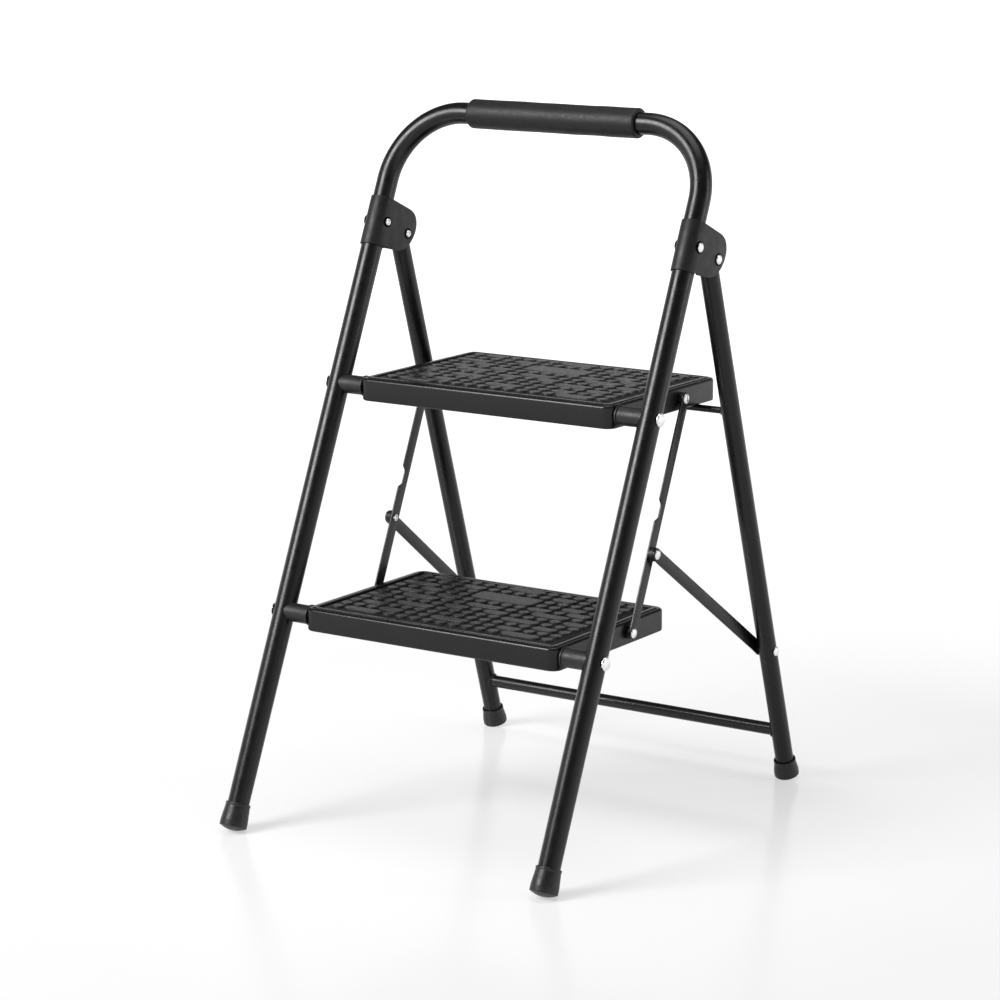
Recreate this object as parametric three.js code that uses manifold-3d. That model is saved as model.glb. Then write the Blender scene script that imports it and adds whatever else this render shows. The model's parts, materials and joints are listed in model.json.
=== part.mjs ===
// Folding two-step ladder: bent tube front frame with a foam grip, hinged rear frame, two pressed
// steel trays on cross axles, a pair of link bars that keep the trays parallel, and a pair of
// struts that close the rear frame when the trays are lifted.
// Units are millimetres. +X is to the right seen from the front, +Y to the back, +Z up.
// Side views are worked out as (y, z) pairs, with y = 0 where the front leg axes meet the floor.

import * as THREE from "three";
import { mergeVertices } from "three/addons/utils/BufferGeometryUtils.js";
import Module from "manifold-3d";

const wasm = await Module();
wasm.setup();

// ---------------------------------------------------------------- driving dimensions

const GAP = 0.3; // clearance between separate pieces that touch
const LEG_OFFSET = 213.7; // centre plane of each pair of legs, from the middle of the ladder

const FRONT_TUBE = { radius: 12.7, wall: 1, sides: 20 };
const FRONT_LEAN = THREE.MathUtils.degToRad(23.8); // front legs from the vertical
const HANDLE_HEIGHT = 879; // handle axis, measured up along the leg
const HANDLE_BEND = 87; // centreline radius of the two top bends
const BEND_STEPS = 8; // straight pieces in each bend
const GRIP = { radius: 17.5, length: 230 };

const REAR_TUBE = { radius: 11, wall: 1, sides: 18 };
const REAR_FOOT_Y = 547; // where the rear leg axes meet the floor
const REAR_TOP = 10; // rear leg above its pivot

const PIVOT = { along: 739.6, behind: 44.9 }; // rear leg pivot, along and behind the front leg axis
const STRUT_FROM_PIVOT = 511; // strut rivet, down the rear leg
const LOWER_BAR = { fromPivot: 623.8, radius: 7.5, wall: 1, sides: 14 };
const UPPER_BAR = { fromPivot: 192.2, radius: 4, sides: 10 };

const AXLE_ALONG = { upper: 540, lower: 263.5 }; // axles, up along the front legs
const AXLE_RADIUS = 4;
const AXLE_HEAD = { radius: 8, height: 3.6 };
const SPACER = { radius: 11, rimRadius: 12.4, rimWidth: 2.2 };

const TRAY = {
  halfWidth: 173.5,
  depth: 234,
  height: 26.6,
  corner: 13,
  innerCorner: 3,
  sheet: 1,
  rim: 12, // width of the raised border
  recess: 3, // deck below the border
  edge: 3.5, // rounding of the top edge, both across and down
  frontToAxle: 16.6,
  topToAxle: 12.2,
};
const MAT = { thickness: 4.8, sideGap: 5.5, endGap: 3 }; // gaps to the border

const LINK_PIVOT = { behind: 135, above: -0.8 }; // link rivet from the axle, with the tray level
const LINK = { width: 15, thickness: 1.6, inner: 178 }; // inner: x of the inner face
const LINK_NOTCH = { from: 120.5, to: 147, ramp: 5, pastMiddle: -1.4 }; // down from the top rivet
const STRUT_ON_LINK = 0.336; // strut rivet as a fraction of the way from lower to upper rivet
const STRUT = { width: 15, thickness: 1.6, flatEnd: 12 };
const STRUT_SPACER = { radius: 8, length: 5.8 };

const RIVET = { shank: 3, head: 6, dome: 2.6, tail: 4.2, tailCrown: 3.4, tailHeight: 1.6 };
const DOME_STEPS = [0.45, 0.8]; // heights of the facet rings on a domed head, as parts of its own
const WASHER_RADIUS = 7;

const BRACKET = { sheet: 1.5, bottom: 709, top: 768, front: -20, pastPivot: 25 };
// The ear's outline, as [behind the leg axis, above the bracket's lower edge]. Each curve has a
// control point and an end point.
const EAR = {
  level: [5, 0],
  slope: [31, 5],
  lowerCurve: [51, 10, 57.5, 29],
  noseCurve: [62.5, 46, 52, 55],
  upperCurve: [46, 59, 37, 59],
};

const FRONT_CAP = { top: 14.6, bottom: 16, height: 27, floorCut: 2 };
const REAR_CAP = { top: 13.4, bottom: 15, height: 21, floorCut: 1.6 };
const CAP_PAD = 5; // rubber under the tube end
const CAP_ROUND = 1.6; // rounding of the lower edge
const CAP_LIP = 1; // chamfer of the upper edge

const HOLE_CLEARANCE = 0.5; // on the radius, round a pin that turns in its hole
const FAR = 500; // reach of a cutting tool that passes right through

const PIN_SIDES = 12; // facets round pins, rivets and their holes
const BRACKET_SEGMENTS = 6; // facets in each curve of a hinge bracket
const ROUND_SIDES = 20; // facets round feet, spacers and the grip

// ---------------------------------------------------------------- materials

function paint(color, roughness, metalness) {
  return new THREE.MeshStandardMaterial({ color, roughness, metalness });
}

const BLACK_PAINT = paint(0x232324, 0.42, 0.3);
const BLACK_RUBBER = paint(0x1b1b1b, 0.75, 0);
const MAT_RUBBER = paint(0x2a2a2a, 0.7, 0);
const BLACK_FOAM = paint(0x202022, 0.85, 0);
const BLACK_PLASTIC = paint(0x181818, 0.5, 0);
const ZINC = paint(0xd4d6d8, 0.28, 1);

// ---------------------------------------------------------------- solids

function toSolid(geometry) {
  const bare = geometry.clone();
  bare.deleteAttribute("normal");
  bare.deleteAttribute("uv");
  const merged = mergeVertices(bare, 1e-4);
  return new wasm.Manifold(new wasm.Mesh({
    numProp: 3,
    vertProperties: new Float32Array(merged.attributes.position.array),
    triVerts: new Uint32Array(merged.index.array),
  }));
}

function toGeometry(solid) {
  const mesh = solid.getMesh();
  const geometry = new THREE.BufferGeometry();
  const positions = new Float32Array(mesh.vertProperties);
  geometry.setAttribute("position", new THREE.BufferAttribute(positions, 3));
  geometry.setIndex(new THREE.BufferAttribute(new Uint32Array(mesh.triVerts), 1));
  return geometry;
}

function cut(body, ...tools) {
  return tools.reduce((left, tool) => left.subtract(tool), body);
}

// A solid round bar along X.
function barX(radius, fromX, toX, y = 0, z = 0, sides = PIN_SIDES) {
  const bar = new THREE.CylinderGeometry(radius, radius, Math.abs(toX - fromX), sides);
  bar.rotateZ(Math.PI / 2);
  bar.translate((fromX + toX) / 2, y, z);
  return toSolid(bar);
}

// A solid round bar along Z.
function barZ(radius, fromZ, toZ, x = 0, y = 0, sides = ROUND_SIDES) {
  const bar = new THREE.CylinderGeometry(radius, radius, toZ - fromZ, sides);
  bar.rotateX(Math.PI / 2);
  bar.translate(x, y, (fromZ + toZ) / 2);
  return toSolid(bar);
}

// A turned piece with its axis along X, from [x, radius] pairs that start and end on the axis.
function turnedX(outline, sides = PIN_SIDES) {
  const points = outline.map(([x, radius]) => new THREE.Vector2(radius, x));
  const lathe = new THREE.LatheGeometry(points, sides);
  lathe.rotateZ(-Math.PI / 2);
  return toSolid(lathe);
}

// A turned piece with its axis along Z, from [z, radius] pairs that start and end on the axis.
function turnedZ(outline, sides = ROUND_SIDES) {
  const points = outline.map(([z, radius]) => new THREE.Vector2(radius, z));
  const lathe = new THREE.LatheGeometry(points, sides);
  lathe.rotateX(Math.PI / 2);
  return toSolid(lathe);
}

// A (y, z) outline pushed along X from x1 to x2.
function plateX(shape, x1, x2, curveSegments = 6) {
  const depth = Math.abs(x2 - x1);
  const plate = new THREE.ExtrudeGeometry(shape, { depth, bevelEnabled: false, curveSegments });
  plate.applyMatrix4(new THREE.Matrix4().set(0, 0, 1, 0, 1, 0, 0, 0, 0, 1, 0, 0, 0, 0, 0, 1));
  plate.translate(Math.min(x1, x2), 0, 0);
  return toSolid(plate);
}

// An (x, y) outline pushed up Z from z1 to z2, with rounded top and bottom edges when asked for.
function plateZ(shape, z1, z2, edge = 0, curveSegments = 4) {
  const plate = new THREE.ExtrudeGeometry(shape, {
    depth: z2 - z1 - 2 * edge,
    bevelEnabled: edge > 0,
    bevelThickness: edge,
    bevelSize: edge,
    bevelOffset: -edge,
    bevelSegments: 3,
    curveSegments,
  });
  plate.translate(0, 0, z1 + edge);
  return toSolid(plate);
}

// The ring section of a tube.
function ringShape(outer, inner) {
  const ring = new THREE.Shape();
  ring.absarc(0, 0, outer, 0, 2 * Math.PI, false);
  const bore = new THREE.Path();
  bore.absarc(0, 0, inner, 0, 2 * Math.PI, true);
  ring.holes.push(bore);
  return ring;
}

// A path that stops only at the given stations, so straight runs stay one long step.
class StationPath extends THREE.Curve {
  constructor(stations) {
    super();
    this.stations = stations;
  }

  station(u) {
    return this.stations[Math.round(u * (this.stations.length - 1))];
  }

  getPointAt(u) {
    return this.station(u).point.clone();
  }

  getTangentAt(u) {
    return this.station(u).tangent.clone();
  }
}

// A hollow tube through the stations.
function tubeAlong(stations, tube) {
  const shape = ringShape(tube.radius, tube.radius - tube.wall);
  return toSolid(new THREE.ExtrudeGeometry(shape, {
    extrudePath: new StationPath(stations),
    steps: stations.length - 1,
    curveSegments: tube.sides / 2,
    bevelEnabled: false,
  }));
}

// A straight hollow tube along Z.
function tubeZ(tube, fromZ, toZ) {
  const tangent = new THREE.Vector3(0, 0, 1);
  const ends = [fromZ, toZ].map((z) => ({ point: new THREE.Vector3(0, 0, z), tangent }));
  return tubeAlong(ends, tube);
}

// A straight hollow tube along X.
function tubeX(tube, fromX, toX) {
  const tangent = new THREE.Vector3(1, 0, 0);
  const ends = [fromX, toX].map((x) => ({ point: new THREE.Vector3(x, 0, 0), tangent }));
  return tubeAlong(ends, tube);
}

function roundedRectangle(halfX, y1, y2, radius) {
  const shape = new THREE.Shape();
  shape.moveTo(-halfX + radius, y1);
  shape.absarc(halfX - radius, y1 + radius, radius, -Math.PI / 2, 0, false);
  shape.absarc(halfX - radius, y2 - radius, radius, 0, Math.PI / 2, false);
  shape.absarc(-halfX + radius, y2 - radius, radius, Math.PI / 2, Math.PI, false);
  shape.absarc(-halfX + radius, y1 + radius, radius, Math.PI, 1.5 * Math.PI, false);
  return shape;
}

// A flat bar's outline with round ends, its holes at z = 0 and z = length.
function barOutline(width, length) {
  const radius = width / 2;
  const shape = new THREE.Shape();
  shape.absarc(0, 0, radius, Math.PI, 2 * Math.PI, false);
  shape.absarc(0, length, radius, 0, Math.PI, false);
  return shape;
}

// Points of a shallow domed head, from its rim to its crown; direction is +1 or -1 along X.
function dome(seatX, direction, radius, height) {
  const points = [[seatX, radius]];
  for (const fraction of DOME_STEPS) {
    const reach = radius * Math.sqrt(1 - fraction * fraction);
    points.push([seatX + direction * height * fraction, reach]);
  }
  points.push([seatX + direction * height, 0]);
  return points;
}

// The closed-over end of a rivet, from the axis to its shank.
function rivetTail(tailSeat) {
  return [
    [tailSeat - RIVET.tailHeight, 0],
    [tailSeat - RIVET.tailHeight, RIVET.tailCrown],
    [tailSeat, RIVET.tail],
    [tailSeat, RIVET.shank],
  ];
}

// A whole rivet on the right-hand side: its tail faces the ladder's middle, its dome faces out.
function rivetOutline(tailSeat, headSeat) {
  return [
    ...rivetTail(tailSeat),
    [headSeat, RIVET.shank],
    ...dome(headSeat, 1, RIVET.head, RIVET.dome),
  ];
}

// Turns a right-hand outline for the given side.
function mirrored(outline, side) {
  if (side > 0) {
    return turnedX(outline);
  }
  return turnedX(outline.map(([x, radius]) => [-x, radius]).reverse());
}

// ---------------------------------------------------------------- the side view's layout

// A point given along and behind the front leg axis, as (y, z).
function onFrontLeg(along, behind = 0) {
  const sin = Math.sin(FRONT_LEAN);
  const cos = Math.cos(FRONT_LEAN);
  return new THREE.Vector2(behind * cos + along * sin, along * cos - behind * sin);
}

const pivot = onFrontLeg(PIVOT.along, PIVOT.behind);
const rearLean = Math.atan2(REAR_FOOT_Y - pivot.x, pivot.y);
const axles = { upper: onFrontLeg(AXLE_ALONG.upper), lower: onFrontLeg(AXLE_ALONG.lower) };
const linkOffset = new THREE.Vector2(LINK_PIVOT.behind, LINK_PIVOT.above);
const linkTop = axles.upper.clone().add(linkOffset);
const linkBottom = axles.lower.clone().add(linkOffset);
const strutTop = linkBottom.clone().lerp(linkTop, STRUT_ON_LINK);
const strutFoot = new THREE.Vector2(
  pivot.x + STRUT_FROM_PIVOT * Math.sin(rearLean),
  pivot.y - STRUT_FROM_PIVOT * Math.cos(rearLean),
);
const linkLength = linkTop.distanceTo(linkBottom);
const strutLength = strutTop.distanceTo(strutFoot);

const linkOuter = LINK.inner + LINK.thickness;
const strutInner = linkOuter + STRUT_SPACER.length + 2 * GAP; // x of the strut at the link
const strutOuter = strutInner + STRUT.thickness;
const rearLegInner = LEG_OFFSET - REAR_TUBE.radius;
const strutSeat = rearLegInner - GAP - STRUT.thickness; // x of the strut's inner face at the leg
const axleHeadX = LEG_OFFSET + FRONT_TUBE.radius + GAP;

// A group whose +Z runs from one side-view point towards another.
function runningGroup(from, to) {
  const group = new THREE.Group();
  group.position.set(0, from.x, from.y);
  group.rotation.x = Math.atan2(from.x - to.x, to.y - from.y);
  return group;
}

function levelGroup(at) {
  const group = new THREE.Group();
  group.position.set(0, at.x, at.y);
  return group;
}

const SIDES = [["left", -1], ["right", 1]];
const ladder = new THREE.Group();

function addMesh(group, name, solid, material, x = 0) {
  const mesh = new THREE.Mesh(toGeometry(solid), material);
  mesh.name = name;
  mesh.position.x = x;
  group.add(mesh);
}

// ---------------------------------------------------------------- feet

// Height of a square-cut cap's lower end, so that floorCut of its lowest edge lies below the floor.
function capStart(cap, lean) {
  return (cap.bottom * Math.sin(lean) - cap.floorCut) / Math.cos(lean);
}

// A rubber cap round a tube end, in a frame with the leg along +Z and the floor through its origin.
// fallsTo is +1 where the cap's back edge is the lowest, and -1 where its front edge is.
function capSolid(cap, tubeRadius, lean, fallsTo) {
  const start = capStart(cap, lean);
  const top = start + cap.height;
  const roundMiddle = CAP_ROUND * (1 - Math.SQRT1_2);
  const outside = turnedZ([
    [start, 0],
    [start, cap.bottom - CAP_ROUND],
    [start + roundMiddle, cap.bottom - roundMiddle],
    [start + CAP_ROUND, cap.bottom],
    [top - CAP_LIP, cap.top],
    [top, cap.top - CAP_LIP],
    [top, 0],
  ]);
  const socket = barZ(tubeRadius + GAP, start + CAP_PAD, FAR);
  const floor = new THREE.BoxGeometry(FAR, FAR, FAR);
  floor.translate(0, 0, -FAR / 2);
  floor.rotateX(fallsTo * lean);
  return cut(outside, socket, toSolid(floor));
}

// ---------------------------------------------------------------- front frame

const HALF_SPAN = LEG_OFFSET - HANDLE_BEND;

// Up the left leg, round the handle and down the right leg.
function frontStations(startZ) {
  const stations = [];
  const add = (x, z, tx, tz) => stations.push({
    point: new THREE.Vector3(x, 0, z),
    tangent: new THREE.Vector3(tx, 0, tz),
  });
  add(-LEG_OFFSET, startZ, 0, 1);
  for (const side of [-1, 1]) {
    for (let step = 0; step <= BEND_STEPS; step += 1) {
      const turned = (Math.PI / 2) * (step / BEND_STEPS);
      const angle = side < 0 ? Math.PI - turned : Math.PI / 2 - turned;
      const x = side * HALF_SPAN + HANDLE_BEND * Math.cos(angle);
      const z = HANDLE_HEIGHT - HANDLE_BEND + HANDLE_BEND * Math.sin(angle);
      add(x, z, Math.sin(angle), -Math.cos(angle));
    }
  }
  add(LEG_OFFSET, startZ, 0, -1);
  return stations;
}

function frontTubeSolid() {
  const start = capStart(FRONT_CAP, FRONT_LEAN) + CAP_PAD + GAP;
  const axleHoles = Object.values(AXLE_ALONG).map(
    (along) => barX(AXLE_RADIUS + GAP, -FAR, FAR, 0, along),
  );
  const rivetHole = barX(RIVET.shank + GAP, -FAR, FAR, 0, PIVOT.along);
  return cut(tubeAlong(frontStations(start), FRONT_TUBE), ...axleHoles, rivetHole);
}

function gripSolid() {
  const wall = GRIP.radius - FRONT_TUBE.radius - GAP;
  const sleeve = { radius: GRIP.radius, wall, sides: ROUND_SIDES };
  return tubeX(sleeve, -GRIP.length / 2, GRIP.length / 2);
}

// ---------------------------------------------------------------- hinge brackets

// Side outline of the bracket, behind the leg axis and up from the bracket's lower edge.
function bracketOutline() {
  const shape = new THREE.Shape();
  shape.moveTo(BRACKET.front, 0);
  shape.lineTo(...EAR.level);
  shape.lineTo(...EAR.slope);
  shape.quadraticCurveTo(...EAR.lowerCurve);
  shape.quadraticCurveTo(...EAR.noseCurve);
  shape.quadraticCurveTo(...EAR.upperCurve);
  shape.lineTo(BRACKET.front, BRACKET.top - BRACKET.bottom);
  return shape;
}

// One strip of sheet bent round the front of the leg, its two ends running back as ears.
function bracketSolid() {
  const inner = FRONT_TUBE.radius + GAP;
  const outer = inner + BRACKET.sheet;
  const earEnd = PIVOT.behind + BRACKET.pastPivot;
  const strip = new THREE.Shape();
  strip.moveTo(outer, earEnd);
  strip.lineTo(inner, earEnd);
  strip.absarc(0, 0, inner, 0, -Math.PI, true);
  strip.lineTo(-inner, earEnd);
  strip.lineTo(-outer, earEnd);
  strip.absarc(0, 0, outer, Math.PI, 2 * Math.PI, false);
  const bent = plateZ(strip, 0, FAR, 0, BRACKET_SEGMENTS);
  const holes = [0, PIVOT.behind].map(
    (behind) => barX(RIVET.shank + GAP, -FAR, FAR, behind, PIVOT.along - BRACKET.bottom),
  );
  const trimmed = bent.intersect(plateX(bracketOutline(), -FAR, FAR, BRACKET_SEGMENTS));
  return cut(trimmed, ...holes).translate([0, 0, BRACKET.bottom]);
}

// A rivet through both bracket plates.
function bracketRivetSolid(side) {
  const seat = FRONT_TUBE.radius + GAP + BRACKET.sheet + GAP;
  return mirrored(rivetOutline(-seat, seat), side);
}

// ---------------------------------------------------------------- axles and spacers

function axleSolid() {
  return turnedX([
    ...dome(-axleHeadX, -1, AXLE_HEAD.radius, AXLE_HEAD.height).reverse(),
    [-axleHeadX, AXLE_RADIUS],
    [axleHeadX, AXLE_RADIUS],
    ...dome(axleHeadX, 1, AXLE_HEAD.radius, AXLE_HEAD.height),
  ]);
}

// A sleeve on the axle from the tray side to the leg, its outer end saddled to the tube.
function spacerSolid(side) {
  const start = side * (TRAY.halfWidth + GAP);
  const rimEnd = start + side * SPACER.rimWidth;
  const end = side * LEG_OFFSET;
  const sleeve = barX(SPACER.radius, start, end, 0, 0, ROUND_SIDES);
  const rim = barX(SPACER.rimRadius, start, rimEnd, 0, 0, ROUND_SIDES);
  const bore = barX(AXLE_RADIUS + GAP, -FAR, FAR);
  const leg = barZ(FRONT_TUBE.radius + GAP, -FAR, FAR, side * LEG_OFFSET);
  return cut(sleeve.add(rim), bore, leg);
}

// ---------------------------------------------------------------- steps

const trayFront = -TRAY.frontToAxle;
const trayBack = trayFront + TRAY.depth;
const trayTop = TRAY.topToAxle;
const trayBottom = trayTop - TRAY.height;
const deckTop = trayTop - TRAY.recess;

function trayShape(inset) {
  const corner = Math.max(TRAY.corner - inset, TRAY.innerCorner);
  return roundedRectangle(TRAY.halfWidth - inset, trayFront + inset, trayBack - inset, corner);
}

// A pressed sheet tray, open below: skirt, raised border and a deck sunk for the mat.
function traySolid() {
  const skirt = plateZ(trayShape(0), trayBottom, trayTop - 2 * TRAY.edge);
  const crown = plateZ(trayShape(0), trayTop - 4 * TRAY.edge, trayTop, TRAY.edge);
  const recess = plateZ(trayShape(TRAY.rim), deckTop, FAR);
  const below = plateZ(trayShape(TRAY.sheet), -FAR, deckTop - TRAY.sheet);
  const underBorder = cut(
    plateZ(trayShape(TRAY.edge), deckTop - 2 * TRAY.sheet, trayTop - TRAY.sheet),
    plateZ(trayShape(TRAY.rim - TRAY.sheet), -FAR, FAR),
  );
  const axleHole = barX(AXLE_RADIUS + HOLE_CLEARANCE, -FAR, FAR);
  const rivetHole = barX(RIVET.shank + GAP, -FAR, FAR, LINK_PIVOT.behind, LINK_PIVOT.above);
  return cut(skirt.add(crown), recess, below, underBorder, axleHole, rivetHole);
}

// A slab that lies on the deck and stands a little above the border.
function matSolid() {
  const base = deckTop + GAP;
  const halfWidth = TRAY.halfWidth - TRAY.rim - MAT.sideGap;
  const margin = TRAY.rim + MAT.endGap;
  const outline = roundedRectangle(
    halfWidth, trayFront + margin, trayBack - margin, TRAY.innerCorner,
  );
  return plateZ(outline, base, base + MAT.thickness);
}

// The rivet that carries a link bar on the side of its tray.
function linkRivetSolid(side) {
  return mirrored(rivetOutline(TRAY.halfWidth - TRAY.sheet - GAP, linkOuter + GAP), side);
}

function washerSolid(side) {
  const from = side * (TRAY.halfWidth + GAP);
  const to = side * (LINK.inner - GAP);
  const bore = barX(RIVET.shank + GAP, -FAR, FAR);
  return barX(WASHER_RADIUS, from, to).subtract(bore);
}

// ---------------------------------------------------------------- link bars

// A flat bar with its lower rivet hole at the origin and a notch that clears the upper spacer.
function linkSolid(side) {
  const bar = plateX(barOutline(LINK.width, linkLength), side * LINK.inner, side * linkOuter);
  const edge = -LINK.width / 2;
  const notch = new THREE.Shape();
  notch.moveTo(-LINK.width, linkLength - LINK_NOTCH.to);
  notch.lineTo(edge, linkLength - LINK_NOTCH.to);
  notch.lineTo(LINK_NOTCH.pastMiddle, linkLength - LINK_NOTCH.to + LINK_NOTCH.ramp);
  notch.lineTo(LINK_NOTCH.pastMiddle, linkLength - LINK_NOTCH.from - LINK_NOTCH.ramp);
  notch.lineTo(edge, linkLength - LINK_NOTCH.from);
  notch.lineTo(-LINK.width, linkLength - LINK_NOTCH.from);
  const endHoles = [0, linkLength].map(
    (z) => barX(RIVET.shank + HOLE_CLEARANCE, -FAR, FAR, 0, z),
  );
  const strutHole = barX(RIVET.shank + GAP, -FAR, FAR, 0, linkLength * STRUT_ON_LINK);
  return cut(bar, plateX(notch, -FAR, FAR), ...endHoles, strutHole);
}

// The inner half of the strut rivet, fixed to the link bar: its shank ends short of the strut.
function strutRivetShankSolid(side) {
  return mirrored([
    ...rivetTail(LINK.inner - GAP),
    [strutInner - GAP, RIVET.shank],
    [strutInner - GAP, 0],
  ], side);
}

function strutSpacerSolid(side) {
  const from = side * (linkOuter + GAP);
  const to = from + side * STRUT_SPACER.length;
  const bore = barX(RIVET.shank + GAP, -FAR, FAR);
  return barX(STRUT_SPACER.radius, from, to, 0, 0, ROUND_SIDES).subtract(bore);
}

// ---------------------------------------------------------------- struts

// A flat bar from the rear leg (origin) up to the link bar, set over sideways along its middle.
function strutSolid(side) {
  const half = STRUT.width / 2;
  const run = [
    [-half, strutSeat],
    [STRUT.flatEnd, strutSeat],
    [strutLength - STRUT.flatEnd, strutInner],
    [strutLength + half, strutInner],
  ];
  const strip = new THREE.Shape();
  strip.moveTo(side * run[0][1], run[0][0]);
  run.slice(1).forEach(([z, x]) => strip.lineTo(side * x, z));
  run.reverse().forEach(([z, x]) => strip.lineTo(side * (x + STRUT.thickness), z));
  const bent = new THREE.ExtrudeGeometry(strip, { depth: STRUT.width, bevelEnabled: false });
  bent.rotateX(Math.PI / 2);
  bent.translate(0, half, 0);
  const outline = plateX(barOutline(STRUT.width, strutLength), -FAR, FAR);
  const footHole = barX(RIVET.shank + HOLE_CLEARANCE, -FAR, FAR);
  const topHole = barX(RIVET.shank + GAP, -FAR, FAR, 0, strutLength);
  return cut(toSolid(bent).intersect(outline), footHole, topHole);
}

// The outer half of the strut rivet, fixed to the strut: a domed head and a short plug.
function strutRivetHeadSolid(side) {
  const seat = strutOuter + GAP;
  return mirrored([
    [strutInner + GAP, 0],
    [strutInner + GAP, RIVET.shank],
    [seat, RIVET.shank],
    ...dome(seat, 1, RIVET.head, RIVET.dome),
  ], side);
}

// ---------------------------------------------------------------- rear frame

function rearLegSolid() {
  const length = pivot.y / Math.cos(rearLean);
  const start = capStart(REAR_CAP, rearLean) + CAP_PAD + GAP - length;
  const pivotHole = barX(RIVET.shank + HOLE_CLEARANCE, -FAR, FAR);
  const strutHole = barX(RIVET.shank + GAP, -FAR, FAR, 0, -STRUT_FROM_PIVOT);
  return cut(tubeZ(REAR_TUBE, start, REAR_TOP), pivotHole, strutHole);
}

// A bar between the rear legs, its ends saddled to the tubes.
function crossbarSolid(bar) {
  const whole = bar.wall
    ? tubeX(bar, -LEG_OFFSET, LEG_OFFSET)
    : barX(bar.radius, -LEG_OFFSET, LEG_OFFSET, 0, 0, bar.sides);
  const legs = SIDES.map(
    ([, side]) => barZ(REAR_TUBE.radius + GAP, -FAR, FAR, side * LEG_OFFSET),
  );
  return cut(whole, ...legs);
}

// The rivet through a rear leg that carries the strut.
function rearRivetSolid(side) {
  return mirrored(rivetOutline(strutSeat - GAP, LEG_OFFSET + REAR_TUBE.radius + GAP), side);
}

// ---------------------------------------------------------------- assembly

function addFrontFrame() {
  const frame = runningGroup(new THREE.Vector2(0, 0), onFrontLeg(1));
  addMesh(frame, "front_frame_tube", frontTubeSolid(), BLACK_PAINT);
  const grip = new THREE.Group();
  grip.position.z = HANDLE_HEIGHT;
  addMesh(grip, "handle_grip", gripSolid(), BLACK_FOAM);
  frame.add(grip);
  for (const [name, side] of SIDES) {
    const x = side * LEG_OFFSET;
    const cap = capSolid(FRONT_CAP, FRONT_TUBE.radius, FRONT_LEAN, 1);
    addMesh(frame, `front_${name}_foot_cap`, cap, BLACK_RUBBER, x);
    addMesh(frame, `${name}_hinge_bracket`, bracketSolid(), BLACK_PAINT, x);
    for (const [use, behind] of [["fixing", 0], ["pivot", PIVOT.behind]]) {
      const seat = new THREE.Group();
      seat.position.set(0, behind, PIVOT.along);
      addMesh(seat, `${name}_bracket_${use}_rivet`, bracketRivetSolid(side), ZINC, x);
      frame.add(seat);
    }
  }
  for (const [level, along] of Object.entries(AXLE_ALONG)) {
    const seat = new THREE.Group();
    seat.position.z = along;
    addMesh(seat, `${level}_axle`, axleSolid(), ZINC);
    for (const [name, side] of SIDES) {
      addMesh(seat, `${level}_${name}_spacer`, spacerSolid(side), BLACK_PLASTIC);
    }
    frame.add(seat);
  }
  ladder.add(frame);
}

function addSteps() {
  for (const [level, axle] of Object.entries(axles)) {
    const step = levelGroup(axle);
    addMesh(step, `${level}_step_tray`, traySolid(), BLACK_PAINT);
    addMesh(step, `${level}_step_mat`, matSolid(), MAT_RUBBER);
    const seat = levelGroup(linkOffset);
    for (const [name, side] of SIDES) {
      addMesh(seat, `${level}_${name}_link_rivet`, linkRivetSolid(side), ZINC);
      addMesh(seat, `${level}_${name}_link_washer`, washerSolid(side), BLACK_PLASTIC);
    }
    step.add(seat);
    ladder.add(step);
  }
}

function addLinkBars() {
  const bars = runningGroup(linkBottom, linkTop);
  const seat = new THREE.Group();
  seat.position.z = linkLength * STRUT_ON_LINK;
  for (const [name, side] of SIDES) {
    addMesh(bars, `${name}_link_bar`, linkSolid(side), BLACK_PAINT);
    addMesh(seat, `${name}_strut_rivet_shank`, strutRivetShankSolid(side), ZINC);
    addMesh(seat, `${name}_strut_spacer`, strutSpacerSolid(side), BLACK_PLASTIC);
  }
  bars.add(seat);
  ladder.add(bars);
}

function addStruts() {
  const struts = runningGroup(strutFoot, strutTop);
  const seat = new THREE.Group();
  seat.position.z = strutLength;
  for (const [name, side] of SIDES) {
    addMesh(struts, `${name}_strut`, strutSolid(side), BLACK_PAINT);
    addMesh(seat, `${name}_strut_rivet_head`, strutRivetHeadSolid(side), ZINC);
  }
  struts.add(seat);
  ladder.add(struts);
}

function addRearFrame() {
  const frame = levelGroup(pivot);
  frame.rotation.x = rearLean;
  const floor = new THREE.Group();
  floor.position.z = -pivot.y / Math.cos(rearLean);
  const strutSeatGroup = new THREE.Group();
  strutSeatGroup.position.z = -STRUT_FROM_PIVOT;
  for (const [name, side] of SIDES) {
    const x = side * LEG_OFFSET;
    const cap = capSolid(REAR_CAP, REAR_TUBE.radius, rearLean, -1);
    addMesh(frame, `rear_${name}_leg`, rearLegSolid(), BLACK_PAINT, x);
    addMesh(floor, `rear_${name}_foot_cap`, cap, BLACK_RUBBER, x);
    addMesh(strutSeatGroup, `rear_${name}_strut_rivet`, rearRivetSolid(side), ZINC);
  }
  for (const [level, bar] of [["lower", LOWER_BAR], ["upper", UPPER_BAR]]) {
    const seat = new THREE.Group();
    seat.position.z = -bar.fromPivot;
    addMesh(seat, `rear_${level}_crossbar`, crossbarSolid(bar), BLACK_PAINT);
    frame.add(seat);
  }
  frame.add(floor, strutSeatGroup);
  ladder.add(frame);
}

addFrontFrame();
addSteps();
addLinkBars();
addStruts();
addRearFrame();

// The origin is on the floor, under the middle of the ladder's outline.
const bounds = new THREE.Box3().setFromObject(ladder, true);
ladder.position.y = -(bounds.min.y + bounds.max.y) / 2;

export default ladder;
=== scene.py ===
"""A folding two-step ladder with a foam-covered handrail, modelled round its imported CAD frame.

Each part of the ladder is built in millimetres in a frame of its own (front legs, rear legs, steps, link
bars, struts), which the CAD joints place. Blender's units are metres: +X right, +Y back, +Z up.
"""

import json
import math

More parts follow.
